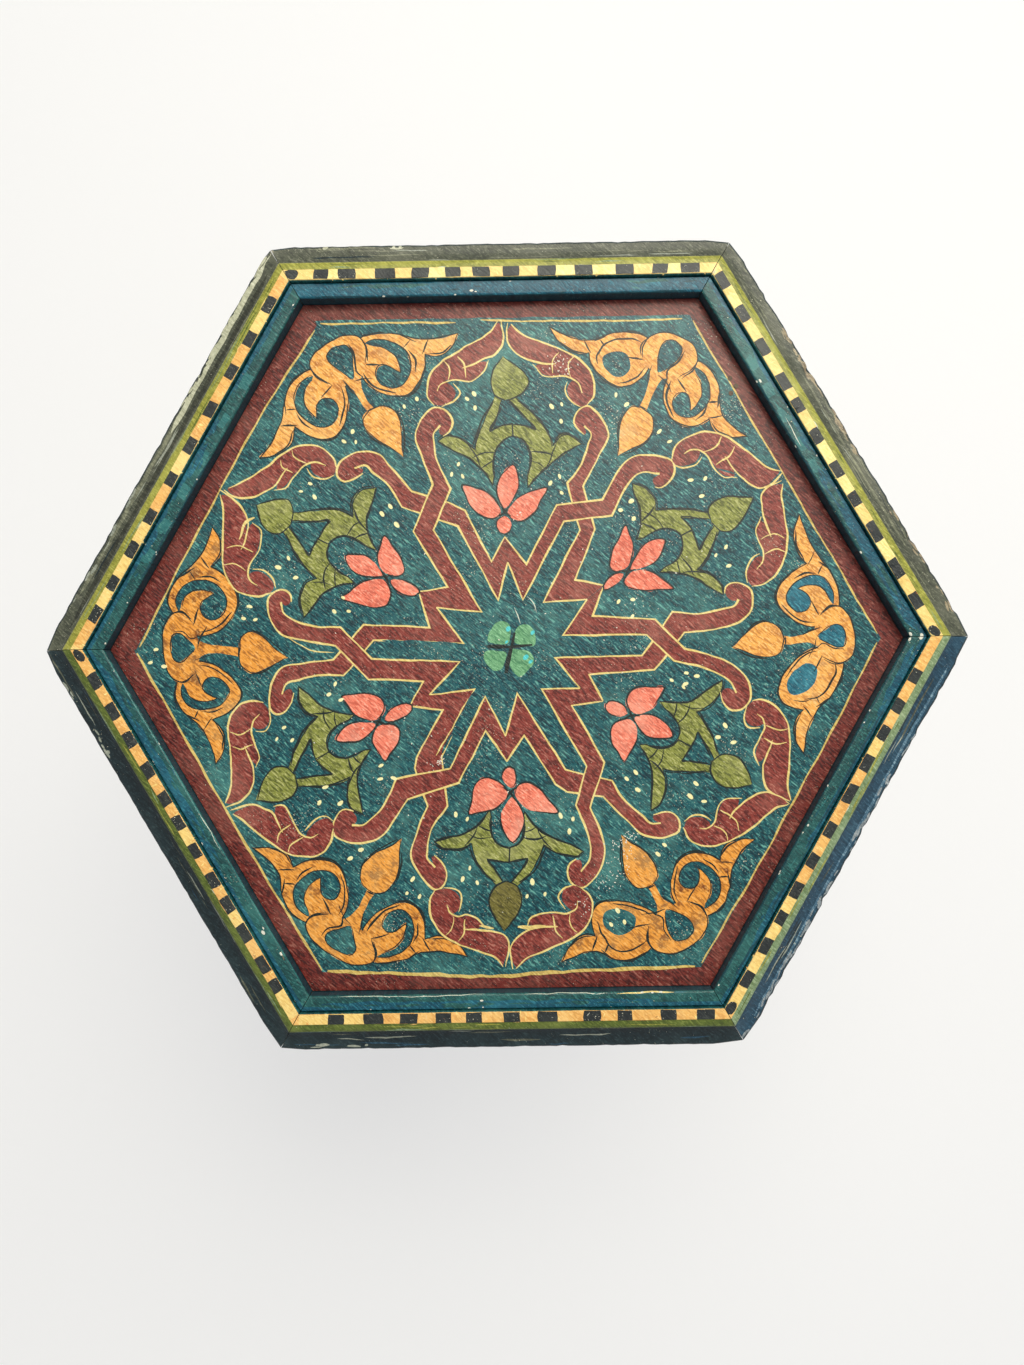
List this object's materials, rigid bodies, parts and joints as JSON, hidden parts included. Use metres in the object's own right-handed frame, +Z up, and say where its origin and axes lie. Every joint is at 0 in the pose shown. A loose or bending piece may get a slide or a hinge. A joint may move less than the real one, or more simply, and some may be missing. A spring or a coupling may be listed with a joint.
{
  "type": "kursi stool",
  "caption": "Low hexagonal wooden stool with a sunk painted top in a moulded rim, on arched side boards that form its feet.",
  "frame": {"origin": "on the floor under the middle of the top", "axes": "+Z up; +X to a corner of the hexagon; +Y square to a side, the picture's up"},
  "size_m": [0.4478, 0.388, 0.44],
  "materials": {
    "panel_paint": "hand-painted in teal, maroon, cream, coral, green and orange under a satin varnish",
    "rim_paint": "cream and charcoal checker flat, olive green bead and dark navy cove, satin varnish, worn edges",
    "fillet_paint": "teal blue paint, satin varnish, small chips",
    "board_paint": "hand-painted arabesques on teal outside, bare pine inside",
    "neck_paint": "maroon and navy paint, satin varnish",
    "raw_pine": "bare pine, matt, dusty",
    "aged_steel": "dull steel with a little rust"
  },
  "bodies": {
    "root": {"top_panel": "panel_paint", "rim_moulding_1": "rim_paint", "rim_fillet_1": "fillet_paint", "side_board_1": "board_paint", "neck_moulding_1": "neck_paint", "corner_block_1": "raw_pine", "top_cleat_1": "raw_pine", "cleat_screw_1a": "aged_steel", "cleat_screw_1b": "aged_steel", "rim_moulding_2": "rim_paint", "rim_fillet_2": "fillet_paint", "side_board_2": "board_paint", "neck_moulding_2": "neck_paint", "corner_block_2": "raw_pine", "top_cleat_2": "raw_pine", "cleat_screw_2a": "aged_steel", "cleat_screw_2b": "aged_steel", "rim_moulding_3": "rim_paint", "rim_fillet_3": "fillet_paint", "side_board_3": "board_paint", "neck_moulding_3": "neck_paint", "corner_block_3": "raw_pine", "top_cleat_3": "raw_pine", "cleat_screw_3a": "aged_steel", "cleat_screw_3b": "aged_steel", "rim_moulding_4": "rim_paint", "rim_fillet_4": "fillet_paint", "side_board_4": "board_paint", "neck_moulding_4": "neck_paint", "corner_block_4": "raw_pine", "top_cleat_4": "raw_pine", "cleat_screw_4a": "aged_steel", "cleat_screw_4b": "aged_steel", "rim_moulding_5": "rim_paint", "rim_fillet_5": "fillet_paint", "side_board_5": "board_paint", "neck_moulding_5": "neck_paint", "corner_block_5": "raw_pine", "top_cleat_5": "raw_pine", "cleat_screw_5a": "aged_steel", "cleat_screw_5b": "aged_steel", "rim_moulding_6": "rim_paint", "rim_fillet_6": "fillet_paint", "side_board_6": "board_paint", "neck_moulding_6": "neck_paint", "corner_block_6": "raw_pine", "top_cleat_6": "raw_pine", "cleat_screw_6a": "aged_steel", "cleat_screw_6b": "aged_steel", "top_pin_1": "aged_steel", "top_pin_2": "aged_steel", "top_pin_3": "aged_steel"}
  },
  "joints": []
}
